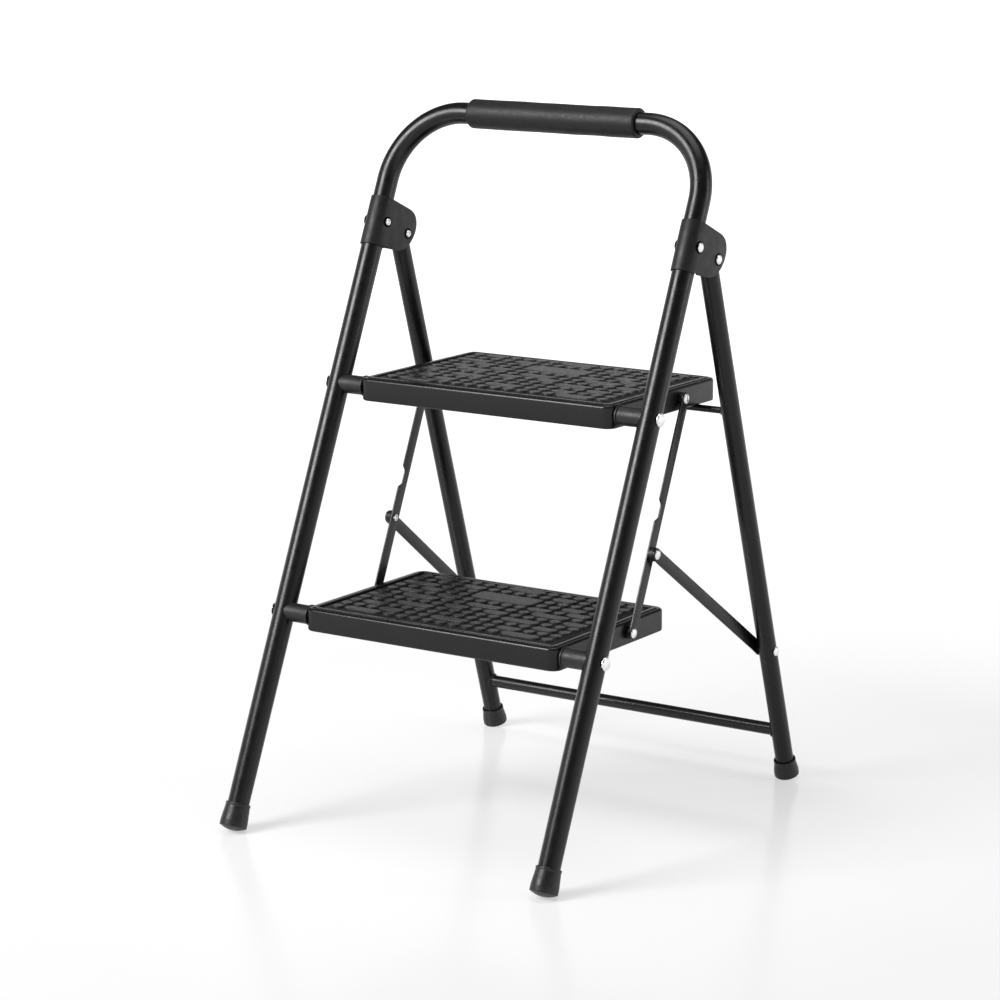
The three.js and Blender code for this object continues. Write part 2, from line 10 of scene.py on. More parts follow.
import bmesh
import bpy
from mathutils import Matrix, Vector, noise


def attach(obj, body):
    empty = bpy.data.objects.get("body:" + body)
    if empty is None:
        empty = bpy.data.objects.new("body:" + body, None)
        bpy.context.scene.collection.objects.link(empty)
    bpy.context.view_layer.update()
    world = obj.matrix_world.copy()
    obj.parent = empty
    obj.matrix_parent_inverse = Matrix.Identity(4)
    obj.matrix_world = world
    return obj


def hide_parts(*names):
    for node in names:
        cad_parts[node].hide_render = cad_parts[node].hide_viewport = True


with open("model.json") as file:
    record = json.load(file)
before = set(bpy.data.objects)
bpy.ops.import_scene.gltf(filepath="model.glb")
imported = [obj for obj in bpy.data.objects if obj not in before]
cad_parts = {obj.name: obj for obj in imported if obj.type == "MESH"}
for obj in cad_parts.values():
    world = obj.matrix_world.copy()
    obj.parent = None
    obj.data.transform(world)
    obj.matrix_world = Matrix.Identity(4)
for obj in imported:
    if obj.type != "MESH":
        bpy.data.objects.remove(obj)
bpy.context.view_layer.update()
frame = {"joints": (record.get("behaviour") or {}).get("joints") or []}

# ---------------------------------------------------------------- dimensions, in millimetres

MM = 0.001
GAP = 0.3  # clearance between separate pieces that touch
LEG_OFFSET = 213.7  # centre plane of each pair of legs

FRONT_RADIUS = 12.7
UPPER_AXLE_ALONG = 540  # up along the front leg from the floor
LOWER_AXLE_ALONG = 263.5
HANDLE_HEIGHT = 879  # up along the front leg
HANDLE_BEND = 87
GRIP_RADIUS = 17.5
GRIP_LENGTH = 230
GRIP_BORE_ROUND = 0.6
GRIP_END_ROUND = 2.8
GRIP_WAVES = ((34, 0.4), (11, 0.16))  # length and height of the foam's uneven spots
GRIP_SHRINK = 0.2  # keeps the uneven surface inside the plain sleeve

REAR_RADIUS = 11
REAR_WALL = 1
REAR_TOP = 10  # above the rear pivot
REAR_OPEN_DEPTH = 30  # how far down the open top end can be looked into
REAR_RIM_ROUND = 0.4
REAR_BORE_ROUND = 0.3
STRUT_FROM_PIVOT = 511  # down the rear leg
LOWER_BAR_FROM_PIVOT = 623.8
LOWER_BAR_RADIUS = 7.5
UPPER_BAR_FROM_PIVOT = 192.2
UPPER_BAR_RADIUS = 4
LOWER_WELD = 1.9  # radius of the bead
UPPER_WELD = 1.7
WELD_RIPPLE = 2.2  # from one ripple of the bead to the next
WELD_RIPPLE_DEPTH = 0.14  # as a share of the bead's radius
WELD_UNEVEN = 0.12

AXLE_RADIUS = 4
AXLE_HEAD_RADIUS = 8
AXLE_HEAD_HEIGHT = 3.6
SPACER_RADIUS = 11
SPACER_RIM_RADIUS = 12.4
SPACER_RIM_WIDTH = 2.2
SPACER_ROUND = 0.5

TRAY_HALF_WIDTH = 173.5
TRAY_DEPTH = 234
TRAY_HEIGHT = 26.6
TRAY_CORNER = 13
TRAY_INNER_CORNER = 3
TRAY_SHEET = 1
TRAY_RIM = 12
TRAY_RECESS = 3
TRAY_EDGE = 3.5
TRAY_STEP = 6  # where the border steps up from its outer ledge, from the tray's edge
TRAY_STEP_RUN = 0.7
TRAY_STEP_HEIGHT = 0.9
TRAY_STEP_FOOT = 0.4  # round at the foot of the step
TRAY_STEP_CREST = 0.6
TRAY_LIP = 1.2  # round of the border's inner edge
TRAY_DECK_ROUND = 0.5
TRAY_DECK_MARGIN = 4  # the deck's outer strip, before the flat middle
TRAY_UNDER_ROUND = 0.6  # rounds of the underside
TRAY_HEM = 5  # the skirt's lower edge, turned inwards
TRAY_HEM_BEND = 2.2
TRAY_HEM_EDGE = 0.4
TRAY_FRONT = -16.6  # from the axle
TRAY_TOP = 12.2  # the border's outer ledge, from the axle

MAT_HALF_WIDTH = 158
MAT_END_GAP = 4
MAT_CORNER = 4.5
MAT_INNER_CORNER = 0.8
MAT_EDGE = 1  # round of the mat's upper edge
MAT_MARGIN = 4  # the mat's outer strip, before the flat middle
MAT_PLANE = -0.3  # the mat's own surface, from the border's outer ledge
STUD_HEIGHT = 2.4
STUD_PITCH = 18
STUD_WIDTH = 13.5
STUD_DEPTH = 12.5
STUD_CORNER = 6
STUD_INNER_CORNER = 0.5
STUD_ROOT = 0.3  # how far a stud is sunk into the mat
STUD_DRAFT = 0.3
STUD_ROUND = 0.5
STUD_CROWN = 2  # the stud's outer strip, before its flat middle

LINK_INNER = 178
BAR_WIDTH = 15
BAR_THICKNESS = 1.6
BAR_EDGE = 0.35
NOTCH_TOP = 120.5  # down from the link bar's upper rivet
NOTCH_BOTTOM = 147
NOTCH_RAMP = 5
NOTCH_FLOOR = -1.4  # from the bar's centre line
NOTCH_ROUND = 2.5
STRUT_ON_LINK = 0.336
STRUT_FLAT_END = 12
STRUT_BEND = 3  # length of the bend at each end
STRUT_SPACER_RADIUS = 8
STRUT_SPACER_LENGTH = 5.8
WASHER_RADIUS = 7
RING_ROUND = 0.25

RIVET_SHANK = 3
RIVET_HEAD = 5.6
RIVET_DOME = 2.6
HEAD_RIM = 0.16  # the upright edge of a head, as a share of its height
HEAD_CHAMFER = 0.2  # under the edge of a head
HEAD_CHAMFER_RISE = 0.3  # as a share of the upright edge
RIVET_TAIL = 4.8
RIVET_TAIL_HEIGHT = 1.6
TAIL_HOLLOW = 1.9  # radius of the hollow in a rolled tail
TAIL_HOLLOW_DEPTH = 1.1
TAIL_CREST = (2.5, 3.6)  # inner and outer radius of the roll's top
TAIL_ROUNDS = (0.3, 0.5, 0.8, 0.4)  # from the hollow's floor out to the seat

BRACKET_ALONG = 709  # lower edge, up along the front leg
BRACKET_HEIGHT = 59
BRACKET_SHEET = 1.5
BRACKET_EDGE = 0.45
BRACKET_RIVETS_ALONG = 739.6
PIVOT_BEHIND = 44.9
SHADE_RING_THICKNESS = 0.6  # thickness of the near-black rings under the bracket's rivets, painted shade that stands in for the shadow round each head and tail
SHADE_RING_SINK = 0.05  # how far it starts behind the rivet's seat
SHADE_RING_MARGIN = 1.5  # past the rivet's own edge
EAR_NOTCH = ((1.2, 0), (3.6, 2.4), (6, 0.2))  # where the leg's wrap meets the ear's lower edge
EAR_FOOT = (31, 5)  # end of the ear's straight lower edge
# The curves round the ear's back, each with its control point and its end
EAR_CURVES = (((51, 10), (57.5, 29)), ((62.5, 46), (52, 55)), ((46, 59), (37, 59)))

# Each foot: its radius at the top and the bottom, the skirt's height and start up the leg, and the radius
# of its crowned underside
FRONT_CAP = {"top": 14.6, "bottom": 16, "height": 27, "rim": 7.6, "crown": 30}
REAR_CAP = {"top": 13.4, "bottom": 15, "height": 21, "rim": 5.4, "crown": 28}
CAP_SINK = 0.3  # depth of a foot's crown worn flat on the floor
CAP_TREAD_EDGE = 1.6  # how far the crown stops short of the skirt
CAP_TREAD_RISE = 0.5
CAP_TREAD_ROUND = 1
CAP_SKIRT_RISE = 6  # top of the skirt's widest part, above its start
CAP_SKIRT_ROUND = 8
CAP_LIP = 2.6  # height of the lip at the top
CAP_LIP_STEP = 1  # height of the step under the lip
CAP_LIP_PROUD = 0.3
CAP_LIP_ROUNDS = (0.8, 0.5, 0.9)  # under the lip, at its lower edge and at its upper edge
CAP_MOUTH = 0.2  # between the top and the tube
CAP_MOUTH_DEPTH = 2
CAP_BITE = 0.3  # how far the mouth's floor reaches into the tube
TUBE_IN_CAP = 4  # the tube's end, above the skirt's start

ROUND = 64  # facets round a tube or turned piece
ON_AXIS = 1e-6  # a smaller radius is a point on the axis
BEND_STEPS = 28  # rings along each bend of the handle
SIDES = (("left", -1), ("right", 1))

# ---------------------------------------------------------------- frames of the ladder's parts

JOINT_AT = {joint["name"]: Vector(joint["pos_m"]) for joint in frame["joints"]}
UPPER_AXLE = JOINT_AT["upper_step_fold"]
LOWER_AXLE = JOINT_AT["lower_step_fold"]
LINK_TOP = JOINT_AT["link_bar_swing"]
REAR_PIVOT = JOINT_AT["rear_frame_fold"]
STRUT_FOOT = JOINT_AT["strut_swing"]
LINK_BOTTOM = LOWER_AXLE + LINK_TOP - UPPER_AXLE
STRUT_TOP = LINK_BOTTOM.lerp(LINK_TOP, STRUT_ON_LINK)
FRONT_FLOOR = UPPER_AXLE + (LOWER_AXLE - UPPER_AXLE).normalized() * UPPER_AXLE_ALONG * MM
LINK_LENGTH = (LINK_TOP - LINK_BOTTOM).length / MM
STRUT_LENGTH = (STRUT_TOP - STRUT_FOOT).length / MM


def running(start, towards):
    """A frame in millimetres at start, its +Z running towards another point of the side view."""
    along = towards - start
    turn = Matrix.Rotation(math.atan2(-along.y, along.z), 4, "X")
    return Matrix.Translation(start) @ turn @ Matrix.Scale(MM, 4)


def level(at):
    return Matrix.Translation(at) @ Matrix.Scale(MM, 4)


FRONT = running(FRONT_FLOOR, UPPER_AXLE)
REAR = running(REAR_PIVOT, 2 * REAR_PIVOT - STRUT_FOOT)
LINK = running(LINK_BOTTOM, LINK_TOP)
STRUT = running(STRUT_FOOT, STRUT_TOP)
REAR_LEAN = math.atan2(STRUT_FOOT.y - REAR_PIVOT.y, REAR_PIVOT.z - STRUT_FOOT.z)
FRONT_LEAN = math.atan2(UPPER_AXLE.y - LOWER_AXLE.y, UPPER_AXLE.z - LOWER_AXLE.z)
REAR_FLOOR = -REAR_PIVOT.z / math.cos(REAR_LEAN) / MM  # along the rear leg from its pivot


def moved(base, x=0.0, y=0.0, z=0.0):
    return base @ Matrix.Translation((x, y, z))


# ---------------------------------------------------------------- outlines


def arc(middle, start, end, steps):
    """Points round middle from start to end, the short way."""
    first = math.atan2(start.y, start.x)
    turn = math.atan2(end.y, end.x) - first
    turn = (turn + math.pi) % (2 * math.pi) - math.pi
    radius = start.length
    angles = [first + turn * step / steps for step in range(steps + 1)]
    return [middle + Vector((math.cos(a), math.sin(a))) * radius for a in angles]


def rounded(points, steps=6, closed=False):
    """Rounds the corners of an outline of (u, v, radius) points."""
    outline = []
    for index, (u, v, radius) in enumerate(points):
        corner = Vector((u, v))
        at_end = not closed and index in (0, len(points) - 1)
        if radius == 0 or at_end:
            outline.append(corner)
            continue
        before = (Vector(points[index - 1][:2]) - corner).normalized()
        after = (Vector(points[(index + 1) % len(points)][:2]) - corner).normalized()
        half = before.angle(after) / 2
        middle = corner + (before + after).normalized() * radius / math.sin(half)
        reach = radius / math.tan(half)
        outline += arc(middle, corner + before * reach - middle, corner + after * reach - middle, steps)
    return outline


def rectangle(half_x, y1, y2, corner, steps=8):
    """An anticlockwise rounded rectangle."""
    points = [(-half_x, y1), (half_x, y1), (half_x, y2), (-half_x, y2)]
    return rounded([(x, y, corner) for x, y in points], steps, closed=True)


def dome(seat, radius, height, steps=12):
    """The outline of a domed rivet head along +X, from its rim to its crown, as (x, radius)."""
    rim = height * HEAD_RIM
    points = [
        (seat, radius - HEAD_CHAMFER),
        (seat + rim * HEAD_CHAMFER_RISE, radius),
        (seat + rim, radius),
    ]
    for step in range(1, steps + 1):
        angle = math.pi / 2 * step / steps
        points.append((seat + rim + (height - rim) * math.sin(angle), radius * math.cos(angle)))
    return points


# ---------------------------------------------------------------- meshes


def turned(bm, outline, closed=False):
    """Turns an outline of (along, radius) points round Z. An open outline starts and ends on the axis."""
    rings = []
    for along, radius in outline:
        if radius < ON_AXIS:
            rings.append([bm.verts.new((0, 0, along))])
            continue
        angles = [2 * math.pi * step / ROUND for step in range(ROUND)]
        rings.append([bm.verts.new((radius * math.cos(a), radius * math.sin(a), along)) for a in angles])
    pairs = list(zip(rings, rings[1:]))
    if closed:
        pairs.append((rings[-1], rings[0]))
    for lower, upper in pairs:
        join_rings(bm, lower, upper)


def join_rings(bm, lower, upper):
    """Faces between two rings of the same count, either of which may be a single point."""
    count = max(len(lower), len(upper))
    for index in range(count):
        following = (index + 1) % count
        corners = []
        for ring, order in ((lower, (index, following)), (upper, (following, index))):
            picked = [ring[0]] if len(ring) == 1 else [ring[order[0]], ring[order[1]]]
            corners += picked
        bm.faces.new(corners)


def lofted(bm, loops, fill=True):
    """Joins closed loops of 3-D points, and closes the first and the last with flat faces."""
    rings = [[bm.verts.new(point) for point in loop] for loop in loops]
    for lower, upper in zip(rings, rings[1:]):
        join_rings(bm, lower, upper)
    if fill:
        bm.faces.new(reversed(rings[0]))
        bm.faces.new(rings[-1])


def bake(piece):
    """Turns the piece's modifiers into plain mesh."""
    shown = piece.evaluated_get(bpy.context.evaluated_depsgraph_get())
    mesh = bpy.data.meshes.new_from_object(shown)
    piece.modifiers.clear()
    piece.data = mesh


def add_piece(name, bm, matrix, body, slot, nodes, side=1, edge=0.0, smooth=38):
    """Makes a piece from a mesh in millimetres, bevels its edges if asked, parents it to its body and hides
    the CAD nodes that it stands for.
    """
    if side < 0:
        bm.transform(Matrix.Scale(-1, 4, (1, 0, 0)))
    bm.transform(matrix)
    bmesh.ops.recalc_face_normals(bm, faces=bm.faces)
    mesh = bpy.data.meshes.new(name)
    bm.to_mesh(mesh)
    bm.free()
    piece = bpy.data.objects.new(name, mesh)
    bpy.context.scene.collection.objects.link(piece)
    if edge:
        bevel = piece.modifiers.new("edges", "BEVEL")
        bevel.width = edge * MM
        bevel.segments = 3
        bevel.limit_method = "ANGLE"
        bevel.angle_limit = math.radians(smooth)
        bake(piece)
    piece.data.shade_smooth()
    piece.data.set_sharp_from_angle(angle=math.radians(smooth))
    piece.data.name = name
    piece.data.materials.append(MATERIALS[slot])
    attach(piece, body)
    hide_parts(*nodes)
    return piece


# +Z of a turned piece onto +X of the ladder
ALONG_X = Matrix.Rotation(math.pi / 2, 4, "Y")


def add_turned_x(name, outline, matrix, body, slot, nodes, side=1, closed=False):
    """A turned piece with its axis along X, given for the right-hand side."""
    bm = bmesh.new()
    turned(bm, outline, closed)
    bm.transform(ALONG_X)
    return add_piece(name, bm, matrix, body, slot, nodes, side)


# ---------------------------------------------------------------- materials


class Surface:
    """A Principled material whose colour, roughness and bump come from procedural textures."""

    def __init__(self, slot, metallic, specular, sheen=0.0):
        self.material = bpy.data.materials.new(slot)
        self.material.use_nodes = True
        self.tree = self.material.node_tree
        self.shader = self.tree.nodes["Principled BSDF"]
        self.shader.inputs["Metallic"].default_value = metallic
        self.shader.inputs["Specular IOR Level"].default_value = specular
        self.shader.inputs["Sheen Weight"].default_value = sheen
        self.place = self.tree.nodes.new("ShaderNodeTexCoord").outputs["Object"]

    def link(self, start, end):
        self.tree.links.new(start, end)

    def noise(self, size, detail=2.0):
        """Smooth noise with features about size millimetres across."""
        node = self.tree.nodes.new("ShaderNodeTexNoise")
        node.inputs["Scale"].default_value = 1 / (size * MM)
        node.inputs["Detail"].default_value = detail
        self.link(self.place, node.inputs["Vector"])
        return node.outputs["Fac"]

    def cells(self, size):
        """Distance from the middles of small cells about size millimetres across."""
        node = self.tree.nodes.new("ShaderNodeTexVoronoi")
        node.inputs["Scale"].default_value = 1 / (size * MM)
        self.link(self.place, node.inputs["Vector"])
        return node.outputs["Distance"]

    def spread(self, value, low, high, start=0.35, end=0.65):
        """Maps the part of value between start and end onto low to high."""
        node = self.tree.nodes.new("ShaderNodeMapRange")
        node.inputs["From Min"].default_value = start
        node.inputs["From Max"].default_value = end
        node.inputs["To Min"].default_value = low
        node.inputs["To Max"].default_value = high
        self.link(value, node.inputs["Value"])
        return node.outputs["Result"]

    def colour(self, value, dark, light):
        """Mixes the base colour from dark to light as value rises."""
        node = self.tree.nodes.new("ShaderNodeMix")
        node.data_type = "RGBA"
        node.inputs["A"].default_value = (*dark, 1)
        node.inputs["B"].default_value = (*light, 1)
        self.link(self.spread(value, 0, 1), node.inputs["Factor"])
        self.link(node.outputs["Result"], self.shader.inputs["Base Color"])

    def roughness(self, value, low, high):
        self.link(self.spread(value, low, high), self.shader.inputs["Roughness"])

    def bump(self, height, depth, strength=1.0):
        """Raises the surface by up to depth millimetres; a second call adds to the first."""
        node = self.tree.nodes.new("ShaderNodeBump")
        node.inputs["Distance"].default_value = depth * MM
        node.inputs["Strength"].default_value = strength
        self.link(height, node.inputs["Height"])
        normal = self.shader.inputs["Normal"]
        if normal.is_linked:
            self.link(normal.links[0].from_socket, node.inputs["Normal"])
        self.link(node.outputs["Normal"], normal)


def grey(value):
    """A grey with a very slight blue cast."""
    return (value, value, value * 1.04)


def black_paint():
    """Satin powder coat: a faint orange peel, and gloss that varies a little."""
    surface = Surface("black_paint", metallic=0.0, specular=0.33)
    surface.colour(surface.noise(60), dark=grey(0.0016), light=grey(0.0028))
    surface.roughness(surface.noise(9, detail=4), low=0.26, high=0.34)
    surface.bump(surface.noise(1.5, detail=3), depth=0.05, strength=0.6)
    surface.bump(surface.noise(26), depth=0.12, strength=0.4)
    return surface.material


def zinc():
    """Bright zinc plate with a slightly clouded, brushed look."""
    surface = Surface("zinc", metallic=1.0, specular=0.5)
    surface.colour(surface.noise(5, detail=5), dark=(0.76, 0.77, 0.78), light=(0.90, 0.90, 0.90))
    surface.roughness(surface.noise(1.6, detail=5), low=0.3, high=0.44)
    surface.bump(surface.noise(0.7), depth=0.02, strength=0.5)
    return surface.material


def soft_paint():
    """The same powder coat where it lies rougher, on the hinge brackets."""
    surface = Surface("soft_paint", metallic=0.0, specular=0.33)
    surface.colour(surface.noise(60), dark=grey(0.0024), light=grey(0.0038))
    surface.roughness(surface.noise(9, detail=4), low=0.42, high=0.52)
    surface.bump(surface.noise(1.5, detail=3), depth=0.09, strength=0.8)
    return surface.material


def painted_shade_ring():
    """Dead matt black rings under the bracket rivets: painted shade that stands in for the dark shadow
    round each head and tail.
    """
    surface = Surface("painted_shade_ring", metallic=0.0, specular=0.05)
    surface.colour(surface.noise(3), dark=grey(0.0006), light=grey(0.0012))
    surface.roughness(surface.noise(1.5), low=0.8, high=0.95)
    return surface.material


def black_rubber():
    """Moulded rubber feet: a dull gloss, lightly pitted, with a grey bloom in places."""
    surface = Surface("black_rubber", metallic=0.0, specular=0.4)
    surface.colour(surface.noise(11, detail=4), dark=grey(0.005), light=grey(0.010))
    surface.roughness(surface.noise(4), low=0.34, high=0.46)
    surface.bump(surface.noise(0.8, detail=3), depth=0.04, strength=0.5)
    return surface.material


def mat_rubber(name, specular, roughness):
    """Grey-black rubber with a fine moulded grain, for the studs and for the mat between them."""
    surface = Surface(name, metallic=0.0, specular=specular)
    surface.colour(surface.noise(16, detail=5), dark=grey(0.004), light=grey(0.008))
    surface.roughness(surface.noise(5), low=roughness, high=roughness + 0.08)
    surface.bump(surface.cells(0.8), depth=0.02, strength=0.5)
    surface.bump(surface.noise(6), depth=0.04, strength=0.4)
    return surface.material


def foam():
    """Closed-cell foam: a dense skin of tiny cells with soft dents."""
    surface = Surface("foam", metallic=0.0, specular=0.3, sheen=0.02)
    surface.colour(surface.noise(9, detail=6), dark=grey(0.003), light=grey(0.006))
    surface.roughness(surface.noise(4), low=0.46, high=0.56)
    surface.bump(surface.cells(0.8), depth=0.05, strength=0.6)
    surface.bump(surface.noise(12, detail=3), depth=0.15, strength=0.4)
    return surface.material


def black_plastic():
    """Moulded nylon spacers and washers with a fine spark-eroded grain."""
    surface = Surface("black_plastic", metallic=0.0, specular=0.4)
    surface.colour(surface.noise(8), dark=grey(0.004), light=grey(0.008))
    surface.roughness(surface.noise(2.5), low=0.42, high=0.55)
    surface.bump(surface.noise(0.5, detail=3), depth=0.03, strength=0.6)
    return surface.material


MATERIALS = {
    "black_paint": black_paint(),
    "zinc": zinc(),
    "black_rubber": black_rubber(),
    "mat_rubber": mat_rubber("mat_rubber", specular=0.5, roughness=0.34),
    "foam": foam(),
    "black_plastic": black_plastic(),
}
SOFT_PAINT = soft_paint()
# Painted shade: the near-black rings round the bracket rivets stand in for the shadow round each head and
# tail.
PAINTED_SHADE_RING = painted_shade_ring()
MAT_GROOVE = mat_rubber("mat_groove", specular=0.3, roughness=0.6)

# ---------------------------------------------------------------- front frame


def tube_stations(start):
    """Up the left leg, round the handle and down the right leg, as (x, z, direction x, direction z)."""
    half_span = LEG_OFFSET - HANDLE_BEND
    stations = [(-LEG_OFFSET, start, 0, 1)]
    for side in (-1, 1):
        for step in range(BEND_STEPS + 1):
            turn = math.pi / 2 * step / BEND_STEPS
            angle = math.pi - turn if side < 0 else math.pi / 2 - turn
            x = side * half_span + HANDLE_BEND * math.cos(angle)
            z = HANDLE_HEIGHT - HANDLE_BEND + HANDLE_BEND * math.sin(angle)
            stations.append((x, z, math.sin(angle), -math.cos(angle)))
    stations.append((LEG_OFFSET, start, 0, -1))
    return stations


def tube_ring(x, z, direction_x, direction_z):
    """The points round the tube at one station."""
    ring = []
    for step in range(ROUND):
        angle = 2 * math.pi * step / ROUND
        across = FRONT_RADIUS * math.cos(angle)
        ring.append((x + across * direction_z, FRONT_RADIUS * math.sin(angle), z - across * direction_x))
    return ring


def add_front_tube():
    start = FRONT_CAP["rim"] + TUBE_IN_CAP
    bm = bmesh.new()
    lofted(bm, [tube_ring(*station) for station in tube_stations(start)])
    add_piece("front_tube", bm, FRONT, "front_frame", "black_paint", ["front_frame_tube"])


def grip_outline(half, bore):
    """The section of the sleeve's wall, with many points along its two long sides."""
    run = 46  # steps along the sleeve
    corners = rounded([
        (-half, bore, GRIP_BORE_ROUND),
        (half, bore, GRIP_BORE_ROUND),
        (half, GRIP_RADIUS, GRIP_END_ROUND),
        (-half, GRIP_RADIUS, GRIP_END_ROUND),
    ], steps=7, closed=True)
    points = []
    for index, corner in enumerate(corners):
        following = corners[(index + 1) % len(corners)]
        points.append(corner)
        if (following - corner).length > half:
            points += [corner.lerp(following, step / run) for step in range(1, run)]
    return points


def add_grip():
    """A foam sleeve with soft ends and a surface that is never quite straight."""
    bore = FRONT_RADIUS + GAP
    bm = bmesh.new()
    turned(bm, grip_outline(GRIP_LENGTH / 2, bore), closed=True)
    bm.transform(ALONG_X)
    for vertex in bm.verts:
        radial = Vector((0, vertex.co.y, vertex.co.z))
        if radial.length > bore + 1:
            dent = sum(noise.noise(vertex.co / length) * height for length, height in GRIP_WAVES)
            vertex.co += radial.normalized() * (dent - GRIP_SHRINK)
    grip = add_piece(
        "foam_grip", bm, moved(FRONT, z=HANDLE_HEIGHT), "front_frame", "foam", ["handle_grip"],
    )


def crown_outline(cap, lean):
    """The domed underside of a foot, from the axis to its edge, its lowest point just on the floor."""
    steps = 10
    middle = (cap["crown"] - CAP_SINK) / math.cos(lean)
    reach = cap["bottom"] - CAP_TREAD_EDGE
    edge = math.asin(reach / cap["crown"])
    angles = [edge * step / steps for step in range(steps + 1)]
    return [(middle - cap["crown"] * math.cos(a), cap["crown"] * math.sin(a)) for a in angles]


def skirt_outline(cap, start, tube_radius):
    """The outside of a foot from the edge of its crown, and its top down to the axis."""
    top = cap["rim"] + cap["height"]
    under_round, lower_round, upper_round = CAP_LIP_ROUNDS
    return rounded([
        (*start, 0),
        (start[0] + CAP_TREAD_RISE, cap["bottom"], CAP_TREAD_ROUND),
        (cap["rim"] + CAP_SKIRT_RISE, cap["bottom"], CAP_SKIRT_ROUND),
        (top - CAP_LIP - CAP_LIP_STEP, cap["top"] - CAP_LIP_PROUD, under_round),
        (top - CAP_LIP, cap["top"], lower_round),
        (top, cap["top"], upper_round),
        (top, tube_radius + CAP_MOUTH, CAP_MOUTH),
        (top - CAP_MOUTH_DEPTH, tube_radius - CAP_BITE, 0),
        (top - CAP_MOUTH_DEPTH, 0, 0),
    ], steps=8)


def add_cap(name, cap, lean, tube_radius, matrix, side, body, node):
    """A rubber foot on a tube end: a lip at the top, a skirt that swells, and a crowned underside."""
    crown = crown_outline(cap, lean)
    skirt = skirt_outline(cap, crown[-1], tube_radius)
    bm = bmesh.new()
    turned(bm, crown[:-1] + skirt)
    bm.transform(moved(matrix, x=side * LEG_OFFSET))
    cut = bmesh.ops.bisect_plane(
        bm, geom=[*bm.verts, *bm.edges, *bm.faces], plane_co=(0, 0, 0), plane_no=(0, 0, -1),
        clear_outer=True,
    )
    edges = [item for item in cut["geom_cut"] if isinstance(item, bmesh.types.BMEdge)]
    bmesh.ops.holes_fill(bm, edges=edges)
    add_piece(name, bm, Matrix.Identity(4), body, "black_rubber", [node])


# ---------------------------------------------------------------- hinge brackets


def curve(start, control, end, steps):
    """Points of a quadratic curve after its start."""
    points = []
    for step in range(1, steps + 1):
        t = step / steps
        points.append(start * (1 - t) ** 2 + control * 2 * t * (1 - t) + end * t ** 2)
    return points


def ear_outline():
    """The ear from the wrap's lower corner to its upper, as (behind the leg, above the lower edge)."""
    points = [Vector(point) for point in (*EAR_NOTCH, EAR_FOOT)]
    for control, end in EAR_CURVES:
        points += curve(points[-1], Vector(control), Vector(end), steps=9)
    return points


def bracket_sheet():
    """The outer face of a bracket: half a turn round the front of the leg, and an ear on each side."""
    outer = FRONT_RADIUS + GAP + BRACKET_SHEET
    wrap_steps = 32
    bm = bmesh.new()
    low, high = [], []
    for step in range(wrap_steps + 1):
        angle = -math.pi * step / wrap_steps
        x, y = outer * math.cos(angle), outer * math.sin(angle)
        low.append(bm.verts.new((x, y, 0)))
        high.append(bm.verts.new((x, y, BRACKET_HEIGHT)))
    for step in range(wrap_steps):
        bm.faces.new((low[step], low[step + 1], high[step + 1], high[step]))
    for ear_x, index in ((outer, 0), (-outer, wrap_steps)):
        rim = [bm.verts.new((ear_x, behind, above)) for behind, above in ear_outline()]
        face = [low[index], *rim, high[index]]
        bm.faces.new(face if index == 0 else reversed(face))
    return bm


def add_bracket(name, side):
    """One strip of sheet bent round the front of the leg, its two ends running back as ears."""
    bm = bracket_sheet()
    bmesh.ops.recalc_face_normals(bm, faces=bm.faces)
    thicken(bm, BRACKET_SHEET)
    matrix = moved(FRONT, x=side * LEG_OFFSET, z=BRACKET_ALONG)
    bracket = add_piece(
        f"{name}_bracket", bm, matrix, "front_frame", "black_paint", [f"{name}_hinge_bracket"],
        edge=BRACKET_EDGE,
    )
    bracket.data.materials[0] = SOFT_PAINT


def thicken(bm, thickness):
    """Gives an open sheet a back face and an edge, on the side away from its normals.

    A vertex on a bend moves further than thickness along its mean normal, so that both walls keep it.
    """
    outside = list(bm.faces)
    border = [edge for edge in bm.edges if edge.is_boundary]
    bm.normal_update()
    inward = {}
    for vertex in bm.verts:
        mean = sum((face.normal for face in vertex.link_faces), Vector()) / len(vertex.link_faces)
        inward[vertex] = -mean / max(mean.length_squared, 0.5)
    twin = {vertex: bm.verts.new(vertex.co + inward[vertex] * thickness) for vertex in list(bm.verts)}
    for face in outside:
        bm.faces.new([twin[vertex] for vertex in reversed(face.verts)])
    for edge in border:
        first, second = edge.verts
        bm.faces.new((first, second, twin[second], twin[first]))


def rivet_tail(tail_seat):
    """The rolled-over hollow tail of a rivet, from its axis to its shank."""
    tail_end = tail_seat - RIVET_TAIL_HEIGHT
    floor_round, inner_round, outer_round, seat_round = TAIL_ROUNDS
    crest_inner, crest_outer = TAIL_CREST
    return rounded([
        (tail_end + TAIL_HOLLOW_DEPTH, 0, 0),
        (tail_end + TAIL_HOLLOW_DEPTH, TAIL_HOLLOW, floor_round),
        (tail_end, crest_inner, inner_round),
        (tail_end, crest_outer, outer_round),
        (tail_seat, RIVET_TAIL, seat_round),
        (tail_seat, RIVET_SHANK, 0),
    ], steps=4)


def rivet_outline(tail_seat, head_seat):
    """A whole rivet on the right-hand side: its tail inwards, its domed head outwards."""
    return [*rivet_tail(tail_seat), (head_seat, RIVET_SHANK), *dome(head_seat, RIVET_HEAD, RIVET_DOME)]


